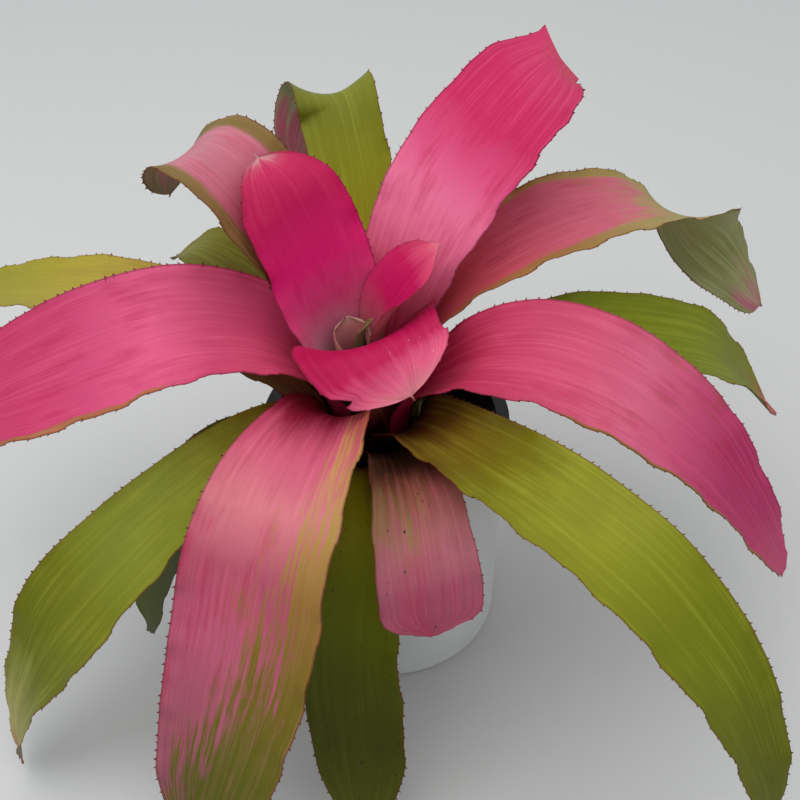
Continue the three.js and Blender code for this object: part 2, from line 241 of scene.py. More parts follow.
# path holds points of the midrib as distance out, height and, where it bends, distance aside.
# width, fold and roll are read along the leaf at even steps. sheath is the length that stays curled
# round the stem, and tip the length that rounds off. Colours go by their place along the leaf, and
# greenAlong says how far the leaf is green instead of red. The red and green colours also hold painted
# light: near-black stops at the foot of several leaves are painted shade of the crowded centre, brighter
# stops just above the foot are painted light that lifts that shade, and pale stops partway along some
# leaves are painted sheen where the overhead light catches the arch.
leaves = {
    "leaf_01_heart": {
        "slot": "leaf_crimson",
        "heading": 100,
        "path": [[11.5, 0], [11.5, 50], [12.5, 88]],
        "width": [58, 58, 58, 58, 58, 58, 58],
        "fold": [140, 140, 140, 140, 140, 140, 140],
        "sheath": 90, "tip": 14, "spine": 0,
        "red": [(0, "3c1814"), (0.45, "5c2c2c"), (0.62, "9a4c52"), (0.78, "d07c84"), (0.93, "e49c98"),
                (1, "d8b4a8")],
        "green": [(0, "3c3418"), (1, "6a5a34")],
        "greenAlong": [0.5, 0.5, 0.4, 0.3, 0.15, 0.05, 0], "edgeColour": "7a4a34",
        "teeth": 0.0,
    },
    "heart_leaflet": {
        "slot": "leaf_crimson", "node": "leaf_01_heart", "called": "leaflet",
        "heading": -25,
        "path": [[5, 52], [6, 74], [9, 86], [15, 95]],
        "width": [8, 12, 16, 17, 15],
        "fold": [60, 50, 35, 30],
        "sheath": 10, "tip": 10,
        "red": [(0, "3c1814"), (1, "a08050")],
        "green": [(0, "3c3818"), (0.6, "78743a"), (1, "9a9450")],
        "greenAlong": [1, 1, 1, 1, 1, 1, 1],
        "teeth": 0.4,
    },
    "leaf_02_inner_right": {
        "slot": "leaf_crimson",
        "heading": 12,
        "path": [[13, 0], [13, 40], [15, 68], [25, 93], [42, 113], [61, 127]],
        "width": [26, 26, 28, 37, 52, 56, 44],
        "blunt": 0.4, "sheath": 76, "tip": 25,
        "red": [(0.3, "a89078"), (0.45, "b08880"), (0.56, "bc5468"), (0.68, "c0125a"), (0.84, "c00a56"),
                (0.94, "dc5478"), (1, "e07c8c")],
        "green": [(0, "a09860"), (1, "b0a068")],
        "greenAlong": [0.6, 0.4, 0.2, 0, 0, 0, 0],
        "teeth": 0.6,
    },
    "leaf_03_lip": {
        "slot": "leaf_crimson",
        "heading": -70,
        "path": [[16, 0], [16, 50], [17, 74], [25, 90, 4], [37, 95, 7], [50, 88, 10], [60, 72, 15]],
        "width": [36, 36, 38, 50, 92, 90, 48],
        "fold": [60, 60, 50, 36, 26, 20, 15],
        "sheath": 55, "tip": 22,
        # painted shade: the near-black first stop darkens the foot, which sits deep in the crowded centre
        "red": [(0, "2c0408"), (0.35, "8a1430"), (0.48, "b81848"), (0.58, "c41e56"), (0.7, "b40c4c"),
                (0.8, "bc1452"), (0.9, "ec6c90"), (0.97, "e49098"), (1, "c07068")],
        "green": [(0, "6a5a28"), (1, "8c7a40")],
        "greenAlong": [0, 0, 0, 0, 0, 0, 0], "scars": 0.7,
        "nicks": [(-1, 0.87, 3, 9), (-1, 0.7, 9, -3), (1, 0.8, 9, 9)],
        "teeth": 0.7,
    },
    "leaf_04_upright_left": {
        "slot": "leaf_crimson",
        "heading": 132,
        "path": [[18.5, 0], [18.5, 45], [19, 85], [20, 120], [27, 152], [37, 176], [52, 190]],
        "width": [36, 44, 60, 72, 74, 70, 50],
        "sheath": 60, "tip": 30,
        # partly painted light: the pale stops from 0.15 to 0.5 are the leaf's greyish pink, made brighter
        # to lift the shade of the crowded centre
        "red": [(0.15, "a89484"), (0.28, "d0a8a4"), (0.38, "dc88a0"), (0.5, "e04a84"), (0.64, "d8186e"),
                (0.8, "c00c54"), (0.93, "c82c5c"), (0.96, "cc5070"), (1, "e0c4ba")],
        "green": [(0, "6a5a28"), (1, "8c7a40")],
        "greenAlong": [0, 0, 0, 0, 0, 0, 0],
        "teeth": 0.8,
    },
    "leaf_05_upright_right": {
        "slot": "leaf_rose",
        "heading": 48,
        "path": [[21, 0], [23, 38], [40, 70], [65, 95], [100, 120], [145, 141, -1], [190, 156, -3],
                 [222, 163, -4]],
        "width": [30, 46, 74, 94, 104, 102, 92],
        "slant": (22, 18), "blunt": 0.62, "spine": 0,
        "sheath": 40, "tip": 30,
        # painted sheen: the paler stops at 0.44 and 0.53 are the overhead light's sheen on the leaf's arch
        "red": [(0.1, "b02048"), (0.22, "b8284c"), (0.34, "cc4a70"), (0.44, "e06c94"), (0.53, "e0709a"),
                (0.63, "d44c80"), (0.74, "c4205e"), (0.85, "c42260"), (0.95, "c43468"), (1, "b04058")],
        "green": [(0, "6a5a28"), (1, "8c7a40")],
        "greenAlong": [0, 0, 0, 0, 0, 0, 0.05], "blushLean": -0.35,
        "teeth": 1.0,
    },
    "leaf_06_left": {
        "slot": "leaf_rose",
        "heading": 185,
        "path": [[23.5, 0], [25, 36], [34, 70], [56, 96], [98, 110], [143, 106], [183, 98], [217, 90],
                 [260, 76]],
        "width": [44, 60, 76, 86, 91, 84, 62],
        "roll": [0, 0, -15, -26, -28, -25, -20],
        "sheath": 40, "tip": 50,
        # painted light: the dark first stop is painted shade at the foot, the bright stops at 0.14 and 0.26
        # lift the centre's shade, and the pale stop at 0.53 is painted sheen
        "red": [(0.05, "701020"), (0.14, "c42a54"), (0.26, "d44470"), (0.4, "cc4a72"), (0.53, "dc5c8a"),
                (0.66, "cc4878"), (0.8, "c23868"), (1, "b83262")],
        "green": [(0.2, "8a5030"), (0.5, "ac6c44"), (1, "94683a")],
        "greenAlong": [0, 0, 0, 0.02, 0.05, 0.08, 0.15], "greenLeft": 0.09, "greenFrom": 0.42,
        "teeth": 1.0,
    },
    "leaf_07_right": {
        "slot": "leaf_rose",
        "heading": -20,
        "path": [[26, 0], [28, 26], [40, 44], [58, 59], [86, 73], [119, 76], [152, 66], [185, 43],
                 [214, 12], [237, -28], [258, -72]],
        "width": [34, 50, 74, 80, 74, 60, 40],
        "roll": [0, 5, 12, 14, 10, 5, 0],
        "blunt": 0.5, "sheath": 32, "tip": 24,
        # painted light: the dark first stop is painted shade at the foot, and the bright stop at 0.1 lifts
        # the centre's shade
        "red": [(0.03, "701020"), (0.1, "c01c48"), (0.2, "b8244c"), (0.32, "c43c64"), (0.44, "d05478"),
                (0.55, "d46888"), (0.66, "c44a78"), (0.76, "b03064"), (0.88, "b03466"), (1, "bc5078")],
        "green": [(0.2, "8a5030"), (0.4, "a06a40"), (0.6, "8c7030"), (1, "7c6a34")],
        "greenAlong": [0, 0, 0.05, 0.2, 0.26, 0.12, 0.1], "greenRight": 0.05, "greenFrom": 0.36,
        "teeth": 1.0,
    },
    "leaf_08_front_left": {
        "slot": "leaf_rose",
        "heading": -113,
        "path": [[26, 0], [30, 34], [44, 54], [66, 63, 5], [108, 60, 6], [146, 42, 5], [176, 4, 0],
                 [203, -41, -12], [230, -90, -27], [244, -124, -36]],
        "width": [40, 60, 88, 96, 92, 78, 50],
        "sheath": 28, "tip": 50,
        # painted light: the near-black first stops of red and green are painted shade at the foot, and the
        # pale stops at 0.28 and 0.38 are painted sheen
        "red": [(0.07, "200406"), (0.13, "8a1c2c"), (0.19, "9c2040"), (0.28, "d05c7c"), (0.38, "d47c88"),
                (0.48, "b05068"), (0.62, "bc5c78"), (0.75, "a85a6c"), (1, "82505a")],
        "green": [(0.08, "240a06"), (0.2, "a86838"), (0.35, "c09c58"), (0.5, "927030"), (0.62, "786818"),
                  (0.8, "5e6010"), (1, "525810")],
        "greenAlong": [0, 0.05, 0.2, 0.36, 0.45, 0.78, 1.05], "greenLean": 0.5, "streaky": 1.5,
        "teeth": 1.0,
    },
    "leaf_09_back_left": {
        "slot": "leaf_rose",
        "heading": 146,
        "path": [[21, 0], [22, 45], [27, 92], [37, 140], [54, 178], [79, 196], [104, 187], [123, 160]],
        "width": [30, 36, 42, 62, 74, 62, 32],
        "sheath": 50, "tip": 30,
        "red": [(0.2, "803040"), (0.5, "b04c5c"), (0.65, "c06078"), (0.78, "c07c8c"), (1, "a07070")],
        "green": [(0.2, "6a5028"), (0.6, "866438"), (0.8, "7c6c34"), (1, "6a6830")],
        "greenAlong": [0.3, 0.3, 0.25, 0.2, 0.1, 0.15, 0.7], "greenLeft": 0.25, "greenRight": 0.22,
        "scurf": "b4ac98",
        "teeth": 1.0,
    },
    "leaf_10_back_right": {
        "slot": "leaf_rose",
        "heading": 27,
        "path": [[23.5, 0], [27, 38], [42, 64], [66, 80], [108, 91], [155, 94], [200, 86], [235, 69],
                 [265, 36], [296, -8], [318, -50]],
        "width": [40, 54, 72, 80, 64, 56, 36],
        "roll": [0, 0, 5, 8, -8, -100, -130],
        "sheath": 32, "tip": 30,
        # painted light: the bright stops up to 0.3 lift the shade of the crowded centre
        "red": [(0.08, "a03038"), (0.18, "c04850"), (0.3, "d05468"), (0.42, "cc6078"), (0.55, "cc6a80"),
                (0.7, "b86878"), (0.9, "b04c70"), (1, "a83464")],
        "green": [(0.15, "a86040"), (0.4, "a07c40"), (0.62, "a09858"), (0.8, "787838"), (1, "70702c")],
        "greenAlong": [0.1, 0.2, 0.15, 0.22, 0.7, 0.9, 0.05], "greenLeft": 0.1, "greenRight": 0.3,
        "scurf": "b0b488",
        "teeth": 1.0,
    },
    "leaf_11_short_front": {
        "slot": "leaf_rose",
        "heading": -74,
        "path": [[36, 0], [39, 14], [49, 23, 4], [66, 29, 5], [92, 37, 3], [113, 38, 1], [133, 32, -3],
                 [147, 18, -7], [155, 1, -10], [159, -11, -12]],
        "width": [38, 42, 46, 50, 56, 60, 56],
        "blunt": 0.4, "sheath": 16, "tip": 14,
        # painted shade: the near-black first stops of red and green darken the foot in the crowded centre
        "red": [(0.1, "1c0a06"), (0.3, "48281a"), (0.45, "7a4038"), (0.58, "985654"), (0.72, "b06874"),
                (0.86, "a8546c"), (1, "a04c64")],
        "green": [(0.1, "1c0c06"), (0.4, "70502c"), (0.7, "8a7444"), (1, "8a6440")],
        "greenAlong": [0.5, 0.5, 0.4, 0.42, 0.4, 0.12, 0], "greenLean": -0.15, "spots": 1.0,
        "teeth": 0.7,
    },
    "leaf_12_front_right": {
        "slot": "leaf_olive",
        "heading": -50,
        "path": [[31, 0], [36, 22], [56, 37], [100, 47, -2], [158, 53, -3], [196, 50, -3], [228, 38, 0],
                 [256, 12, 4], [278, -20, 8], [292, -60, 11], [300, -92, 12], [304, -118, 12]],
        "width": [44, 54, 62, 62, 56, 42, 28],
        "sheath": 20, "tip": 50,
        # painted light: the near-black first stops of red and green are painted shade at the foot, and the
        # brighter green stops at 0.4 and 0.5 are painted sheen
        "red": [(0.06, "0e0303"), (0.14, "5c2c18"), (0.22, "7c4c28"), (1, "a06a50")],
        "green": [(0.04, "0e0303"), (0.11, "542c10"), (0.2, "745c18"), (0.3, "747010"), (0.4, "868a28"),
                  (0.5, "868c28"), (0.62, "767e12"), (0.78, "6a720a"), (0.9, "60660a"), (1, "5c620c")],
        "greenAlong": [0.5, 0.85, 1.1, 1.2, 1.2, 1.2, 1.1],
        "teeth": 1.0,
    },
    "leaf_13_back": {
        "slot": "leaf_olive",
        "heading": 78,
        "path": [[31, 0], [36, 22], [50, 46, 5], [72, 68, 10], [95, 90, 15], [117, 118, 18], [134, 142, 23],
                 [151, 164, 31], [166, 158, 48], [176, 136, 68], [182, 104, 84]],
        "width": [40, 50, 54, 56, 58, 50, 36],
        "sheath": 22, "tip": 30,
        "red": [(0, "802040"), (1, "a83a5c")],
        # painted light: the bright first green stop lifts the shade of the crowded centre
        "green": [(0.08, "a08828"), (0.38, "a09424"), (0.5, "8c8c1c"), (0.64, "7a8028"), (0.8, "747a44"),
                  (1, "80785a")],
        "greenAlong": [1, 1.1, 1.1, 1.1, 1, 0.55, 0.2],
        "teeth": 1.0,
    },
    "leaf_14_right": {
        "slot": "leaf_olive",
        "heading": 6,
        "path": [[28.5, 0], [32, 24], [44, 38], [68, 44], [104, 47], [141, 46], [189, 30], [227, 8],
                 [258, -38]],
        "width": [32, 38, 54, 66, 70, 73, 66],
        "roll": [0, 0, 5, 8, 8, 4, 0],
        "blunt": 0.25, "sheath": 26, "tip": 22,
        "red": [(0, "802040"), (1, "c04878")],
        "green": [(0.1, "70781c"), (0.5, "788620"), (0.75, "727e18"), (0.9, "727824"), (1, "747c28")],
        "greenAlong": [1, 1.1, 1.1, 1.2, 1.2, 1.1, 0.4], "greenLean": 0.15,
        "teeth": 1.0,
    },
    "leaf_15_front_left": {
        "slot": "leaf_olive",
        "heading": -146,
        "path": [[28.5, 0], [34, 22], [54, 38], [90, 42], [137, 33], [185, 17], [222, -4, -4],
                 [250, -32, -12], [278, -70, -18], [292, -106, -16]],
        "width": [42, 52, 60, 68, 72, 52, 28],
        "roll": [0, 0, -8, -15, -15, 0, 10],
        "sheath": 20, "tip": 40,
        # painted light: the dark first stops are painted shade at the foot, and the bright green stop at
        # 0.11 lifts the centre's shade
        "red": [(0.05, "4a1c14"), (0.2, "8a5a30"), (0.9, "90506a"), (1, "b03868")],
        "green": [(0.03, "6c4c1c"), (0.11, "a08434"), (0.22, "807c20"), (0.36, "7c8430"), (0.48, "7c8430"),
                  (0.6, "6e7410"), (0.76, "646a0c"), (0.88, "8c8c64"), (1, "b0a090")],
        "greenAlong": [0.4, 0.8, 1.1, 1.2, 1.2, 1.1, 0.4], "greenLean": 0.1,
        "teeth": 1.0,
    },
    "leaf_16_left": {
        "slot": "leaf_olive",
        "heading": 141,
        "path": [[26, 0], [30, 32], [42, 62], [66, 90], [95, 108], [125, 112], [155, 98]],
        "width": [36, 46, 54, 56, 52, 42, 24],
        "sheath": 28, "tip": 30,
        "red": [(0, "400810"), (0.5, "7a4028"), (1, "806050")],
        "green": [(0.1, "4a2c18"), (0.55, "685a22"), (0.8, "747420"), (1, "787848")],
        "greenAlong": [0.3, 0.6, 0.8, 1, 1.1, 1.1, 1.1], "greenLean": 0.3,
        "teeth": 1.0,
    },
    "leaf_17_front": {
        "slot": "leaf_green",
        "heading": -95,
        "path": [[38.5, 0], [40, 7], [49, 14, 2], [64, 19, 3], [82, 20, 5], [106, 15, 6], [127, 0, 2],
                 [142, -21, -3], [155, -51, -8], [170, -88, -10], [189, -122, -12], [208, -138, -14]],
        "width": [38, 44, 50, 56, 60, 54, 34],
        "sheath": 12, "tip": 45,
        "red": [(0, "a06030"), (1, "785034")],
        # painted light: the bright green stops at the foot, up to 0.1, lift the shade of the crowded centre
        "green": [(0, "b88848"), (0.1, "a0942c"), (0.24, "8c8e18"), (0.4, "687008"), (0.6, "4c5404"),
                  (0.75, "424804"), (0.9, "4c5010"), (1, "545820")],
        "greenAlong": [0.4, 1.1, 1.2, 1.2, 1.2, 1.2, 1.2], "spots": 0.6,
        "teeth": 1.0,
    },
    "leaf_18_far_left": {
        "slot": "leaf_olive",
        "heading": 160,
        "path": [[33.5, 0], [38, 16], [55, 38], [84, 64], [122, 88], [175, 101], [225, 100], [275, 93],
                 [315, 78]],
        "width": [38, 48, 58, 62, 60, 52, 36],
        "sheath": 18, "tip": 40,
        "red": [(0, "9a2c34"), (0.4, "98503c"), (1, "a88050")],
        # painted light: the first green stop is made brighter to lift the shade of the crowded centre
        "green": [(0.1, "906040"), (0.4, "a48848"), (0.6, "a8984c"), (0.75, "9c943c"), (1, "84882c")],
        "greenAlong": [0.3, 0.6, 0.8, 0.9, 1.1, 1.2, 1.2],
        "teeth": 1.0,
    },
    "leaf_19_low_left": {
        "slot": "leaf_green",
        "heading": -154,
        "path": [[36, 0], [40, 11], [50, 21], [68, 30], [95, 32], [120, 22, 1], [145, 0, 3], [164, -24, 5],
                 [178, -42, 7], [184, -54, 9]],
        "width": [40, 50, 60, 66, 70, 72, 64],
        "blunt": 0.5, "sheath": 15, "tip": 16, "spine": 1,
        "red": [(0, "402018"), (1, "604830")],
        "green": [(0, "606828"), (0.6, "5a6420"), (1, "545c1c")],
        "greenAlong": [1, 1.2, 1.2, 1.2, 1.2, 1.2, 1.2],
        "teeth": 1.0,
    },
}


def along(values, t):
    # a smooth value along a list whose entries stand at even steps from 0 to 1
    last = len(values) - 1
    x = min(max(t, 0), 1) * last
    i = min(int(x), last - 1)
    f = x - i
    b = values[i]
    c = values[i + 1]
    a = values[i - 1] if i > 0 else 2 * b - c
    d = values[i + 2] if i + 2 <= last else 2 * c - b
    return b + 0.5 * f * (c - a + f * (2 * a - 5 * b + 4 * c - d + f * (3 * (b - c) + d - a)))


def smoothStep(x, low, high):
    f = min(max((x - low) / (high - low), 0), 1)
    return f * f * (3 - 2 * f)


class Midrib:
    # the smooth line through a leaf's path, by length along it
    def __init__(self, path):
        points = [Vector((p[0], p[2] if len(p) > 2 else 0, p[1])) for p in path]
        steps = leafCommon["pathSteps"] * (len(points) - 1)
        self.line = [along(points, i / steps) for i in range(steps + 1)]
        self.reach = [0]
        for a, b in zip(self.line, self.line[1:]):
            self.reach.append(self.reach[-1] + (b - a).length)
        self.length = self.reach[-1]

    def point(self, s):
        # before its start and past its end the line goes straight on
        if s <= 0:
            return self.line[0] + (self.line[1] - self.line[0]).normalized() * s
        if s >= self.length:
            return self.line[-1] + (self.line[-1] - self.line[-2]).normalized() * (s - self.length)
        i = bisect.bisect_right(self.reach, s) - 1
        i = min(i, len(self.line) - 2)
        f = (s - self.reach[i]) / (self.reach[i + 1] - self.reach[i])
        return self.line[i].lerp(self.line[i + 1], f)

    def run(self, s):
        step = leafCommon["runStep"]
        return (self.point(s + step) - self.point(s - step)).normalized()


def plantFrame(heading):
    lean = Matrix.Rotation(math.radians(-plant["lean"]), 4, "Y")
    turn = Matrix.Rotation(math.radians(heading), 4, "Z")
    return Matrix.Scale(mm, 4) @ Matrix.Translation((plant["x"], 0, plant["z"])) @ lean @ turn


def leafRow(leaf, midrib, s):
    # one row's centre, three directions, half width, curl and how far it has opened
    t = min(max(s / midrib.length, 0), 1)
    centre = midrib.point(s)
    run = midrib.run(s)
    across = (Vector((0, 1, 0)) - run * run.y).normalized()
    roll = math.radians(along(leaf.get("roll", leafCommon["flat"]), t))
    across = Matrix.Rotation(roll, 3, run) @ across
    face = run.cross(across)
    toTip = min(1, max(0, midrib.length - s) / leaf["tip"])
    rounding = max(leaf.get("blunt", leafCommon["blunt"]), math.sqrt(max(0, 1 - (1 - toTip) ** 2)))
    half = along(leaf["width"], t) / 2 * rounding
    if s > midrib.length:
        half *= max(leafCommon["spineWidth"], 1 - (s - midrib.length) / leafCommon["spine"])
    starts, ends = leafCommon["opens"]
    opened = smoothStep(t * midrib.length, starts * leaf["sheath"], ends * leaf["sheath"])
    curl = math.radians(along(leaf.get("fold", leafCommon["channel"]), t))
    angle = half / leaf["path"][0][0] * (1 - opened) + curl * opened
    return centre, across, face, run, half, max(angle, leafCommon["leastCurl"]), opened


def rippleAt(s, u, phase):
    # phase has more draws than waves, and the spare ones are left out
    wave = 0
    for (length, height, lag), start in zip(leafCommon["ripples"], phase):
        wave += height * math.sin(leafCommon["rippleTurn"] * s / length + start + (lag if u > 0 else 0))
    return wave * leafCommon["ripple"] * u ** leafCommon["rippleRise"]


def placeTeeth(chance, rows, size):
    # the rows that have a tooth, and its size, on the right margin and the left one
    toothRows = [{}, {}]
    for margin in toothRows:
        row = chance.randint(*leafCommon["toothStart"])
        while row < rows - leafCommon["toothStop"]:
            margin[row] = chance.uniform(*leafCommon["toothSize"]) * size
            row += chance.randint(*leafCommon["toothGap"])
    return toothRows


def buildLeaf(name, leaf, number):
    chance = random.Random(leafCommon["seed"] + number)
    called = leaf.get("called", name[:8])
    midrib = Midrib(leaf["path"])
    total = midrib.length + leaf.get("spine", leafCommon["spine"])
    rows = round(total / leafCommon["rowStep"])
    columns = leafCommon["columns"]
    bpy.ops.mesh.primitive_grid_add(x_subdivisions=columns, y_subdivisions=rows, size=1)
    blade = bpy.context.object
    blade.name = called + "_blade"
    mesh = blade.data

    # columns stand closer at the margins, where the teeth are
    crowding = leafCommon["crowding"]
    even = [2 * c / columns - 1 for c in range(columns + 1)]
    stations = [(1 - crowding) * e + crowding * math.sin(math.pi / 2 * e) for e in even]
    phase = [chance.uniform(*leafCommon["rippleStart"]) for _ in range(leafCommon["rippleDraws"])]
    toothRows = placeTeeth(chance, rows, leaf["teeth"])
    squeeze = total / rows - leafCommon["toothBase"]
    leftReach, rightReach = leaf.get("slant", (0, 0))

    grown = plantFrame(leaf["heading"])
    laid = {}
    mapped = {}
    thickness = {}
    for row in range(rows + 1):
        s = total * row / rows
        plainRow = leafRow(leaf, midrib, s)
        for column in range(columns + 1):
            u = -stations[column]
            teeth = toothRows[0 if column == 0 else 1]
            marginal = column in (0, columns)
            # the margin's points beside a tooth stand close to it, so its foot is narrow
            shift = 0
            if marginal and 0 < row < rows:
                shift = squeeze * ((row + 1 in teeth) - (row - 1 in teeth))
            rowShape = leafRow(leaf, midrib, s + shift) if shift else plainRow
            centre, across, face, run, half, angle, opened = rowShape
            for margin, where, length, depth in leaf.get("nicks", []):
                if u * margin > 0:
                    half -= depth * math.exp(-((s - where * midrib.length) / length) ** 2) * u * u
            t = min(1, (s + shift) / midrib.length)
            turn = u * angle
            aside = half * math.sin(turn) / angle
            raised = half * (1 - math.cos(turn)) / angle
            point = centre + across * aside + face * raised
            reach = 1 if s + shift <= midrib.length else leafCommon["spineWidth"]
            slant = leftReach if u > 0 else rightReach
            point += run * (slant * u * t ** leafCommon["slantRise"] * reach)
            normal = face * math.cos(turn) - across * math.sin(turn)
            point += normal * (rippleAt(s, u, phase) * opened)
            tooth = teeth.get(row, 0) if marginal else 0
            if tooth and s < midrib.length - leafCommon["toothFree"]:
                outward = (across * math.cos(turn) + face * math.sin(turn)) * (1 if u > 0 else -1)
                point += (outward * leafCommon["toothOut"] + run * leafCommon["toothOn"]) * tooth
            laid[row, column] = grown @ point
            mapU = u * (leafCommon["toothMap"] if tooth else 1)
            mapped[row, column] = ((mapU + 1) / 2, (s + shift) / total)
            thin = leafCommon["middle"] + (leafCommon["edge"] - leafCommon["middle"]) * u * u
            thin *= 1 - (1 - leafCommon["tipThin"]) * t
            thickness[row, column] = thin * (leafCommon["toothThin"] if tooth else 1)

    places = {}
    for vertex in mesh.vertices:
        key = (round((vertex.co.y + 0.5) * rows), round((vertex.co.x + 0.5) * columns))
        places[vertex.index] = key
        vertex.co = laid[key]
    for loop in mesh.loops:
        mesh.uv_layers[0].data[loop.index].uv = mapped[places[loop.vertex_index]]
    mesh.uv_layers[0].name = "leafMap"
    group = blade.vertex_groups.new(name="thick")
    for index, key in places.items():
        group.add([index], thickness[key] / leafCommon["middle"], "REPLACE")

    mesh.materials.append(leafSkin(called + "_skin", leaf, total, number))
    mesh.materials.append(leafUnderside(called + "_under", leaf, total, number))
    solid = blade.modifiers.new("thickness", "SOLIDIFY")
    solid.thickness = leafCommon["middle"] * mm
    solid.offset = 0
    solid.vertex_group = "thick"
    solid.material_offset = 1
    bpy.ops.object.modifier_apply(modifier=solid.name)
    bpy.ops.object.shade_smooth_by_angle(angle=math.radians(leafCommon["smoothAngle"]))
    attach(blade, "root")
    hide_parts(leaf.get("node", name))
    blade.select_set(False)


leafPaint = {
    # grain: width and length in millimetres, seed, detail, roughness
    "grains": {
        "fine": (0.5, 110, 3.1, 2, 0.5),
        "streak": (2.4, 95, 7.3, 3, 0.6),
        "dapple": (3.4, 42, 9.1, 4, 0.65),
        "cloud": (16, 38, 5.7, 3, 0.55),
    },
    "even": 0.5,                         # a grain's middle value
    # green: the most it can be, the bands along the margins, how ragged it is, and its soft edge
    "mostGreen": 1.3,
    "bandFrom": 0.15, "bandRise": 0.15, "bandWidth": 2.2, "bandGreen": 0.9,
    "cloudGreen": 0.7, "greenEdge": (0.3, 0.7),
    # how far the colours wander along the leaf
    "cloudShift": 0.1, "streakShift": 0.06, "leanShift": 0.1,
    # light and dark veins over a broad mottling
    "fineShade": 0.22, "streakShade": 0.3, "evenShade": 0.26, "cloudShade": 0.3, "leastShade": 0.85,
    "greenShade": 0.97,
    "veins": {"leaf_crimson": 0.4, "leaf_rose": 0.75, "leaf_olive": 0.8, "leaf_green": 0.9},
    "blue": {"leaf_crimson": 1.0, "leaf_rose": 0.95, "leaf_olive": 0.55, "leaf_green": 0.4},
    "blush": {"leaf_crimson": 0.3, "leaf_rose": 0.42, "leaf_olive": 0.12, "leaf_green": 0.0},
    "blushColour": "ac0c48", "blushCloud": 0.65, "blushDapple": 0.35, "blushEdge": (0.47, 0.66),
    "sheen": {"leaf_crimson": "e87090", "leaf_rose": "ec8098", "leaf_olive": "b4b848",
              "leaf_green": "70782a"},
    "sheenFine": 0.4, "sheenCloud": 0.4, "sheenEdge": (0.85, 1.2), "sheenShare": 0.22,
    # the margin's thin line, and the teeth past it
    "marginColour": "6e1c22", "marginEdge": (0.965, 0.998), "marginShare": 0.55,
    "toothColour": "5a1c1c", "toothEdge": (1.0, 1.03), "toothShare": 0.8,
    "roughness": 0.38, "cloudRoughness": 0.14, "streakRoughness": 0.1,
    "shine": 0.16, "through": 0.3,       # through is the share of the light that a leaf lets through
    "fineBump": 0.55, "streakBump": 0.45, "bump": (0.5, 0.0008),
}
spots = {
    "colour": "2c0c14", "wide": 9, "long": 5, "seed": 1.7, "scale": 0.9, "edge": (0.1, 0.24),
    "patchScale": 0.35, "patchDetail": 1, "patchEdge": (0.58, 0.66),
}
scars = {
    "colour": "e8b8b0", "wide": 12, "wideLean": 20, "long": 34, "longLean": 3, "seed": 4.2,
    "detail": 4, "roughness": 0.7, "edge": (0.66, 0.72), "side": (-0.1, 0.3), "from": (0.5, 0.6),
}
underPaint = {
    "scurf": "9a9e80", "streak": 0.6, "fine": 0.4, "cloud": 0.3, "edge": (0.45, 0.85),
    "from": (0.12, 0.4), "share": 0.65, "marginEdge": (0.955, 0.995), "marginShare": 0.7,
    "roughness": 0.5, "scurfRoughness": 0.15, "fineBump": 0.6, "streakBump": 0.4,
}


def grey(value):
    return [value, value, value, 1]


def leafPattern(finish, leaf, length, number):
    # the leaf's own map: u runs from the right margin, -1, to the left one, 1, and v from foot to tip
    uv = finish.node("UVMap", {"uv_map": "leafMap"}, {})
    split = finish.node("SeparateXYZ", {}, {0: uv})
    u = split * 2 - 1
    v = split.output("Y")
    x = u * (max(leaf["width"]) / 2)
    y = v * length
    pattern = {"u": u, "v": v, "side": abs(u)}
    for grain, (wide, long, seed, detail, roughness) in leafPaint["grains"].items():
        where = finish.place(x / wide, y / long, number * seed)
        pattern[grain] = finish.noise(where, 1, detail, roughness)
    cloud = pattern["cloud"] - leafPaint["even"]

    last = len(leaf["greenAlong"]) - 1
    stops = [(i / last, grey(g / leafPaint["mostGreen"])) for i, g in enumerate(leaf["greenAlong"])]
    greenness = finish.ramp(v, stops) * leafPaint["mostGreen"] + u * leaf.get("greenLean", 0)
    for band, margin in (("greenLeft", 1), ("greenRight", -1)):
        if band in leaf:
            start = leaf.get("greenFrom", leafPaint["bandFrom"])
            outer = finish.smooth(v, start, start + leafPaint["bandRise"])
            inner = margin * (1 - leafPaint["bandWidth"] * leaf[band])
            greenness = greenness + finish.smooth(u, inner, margin) * outer * leafPaint["bandGreen"]
    greenness = greenness + (pattern["dapple"] - leafPaint["even"]) * leaf.get("streaky", 1)
    greenness = greenness + cloud * leafPaint["cloudGreen"]
    pattern["green"] = finish.smooth(greenness, *leafPaint["greenEdge"])

    shift = cloud * leafPaint["cloudShift"]
    shift = shift + (pattern["streak"] - leafPaint["even"]) * leafPaint["streakShift"]
    shift = shift + u * (leafPaint["leanShift"] * leaf.get("blushLean", 0))
    red = finish.colours(v + shift, leaf["red"])
    green = finish.colours(v + shift, leaf["green"])
    pattern["colour"] = finish.mix(pattern["green"], red, green)
    return pattern


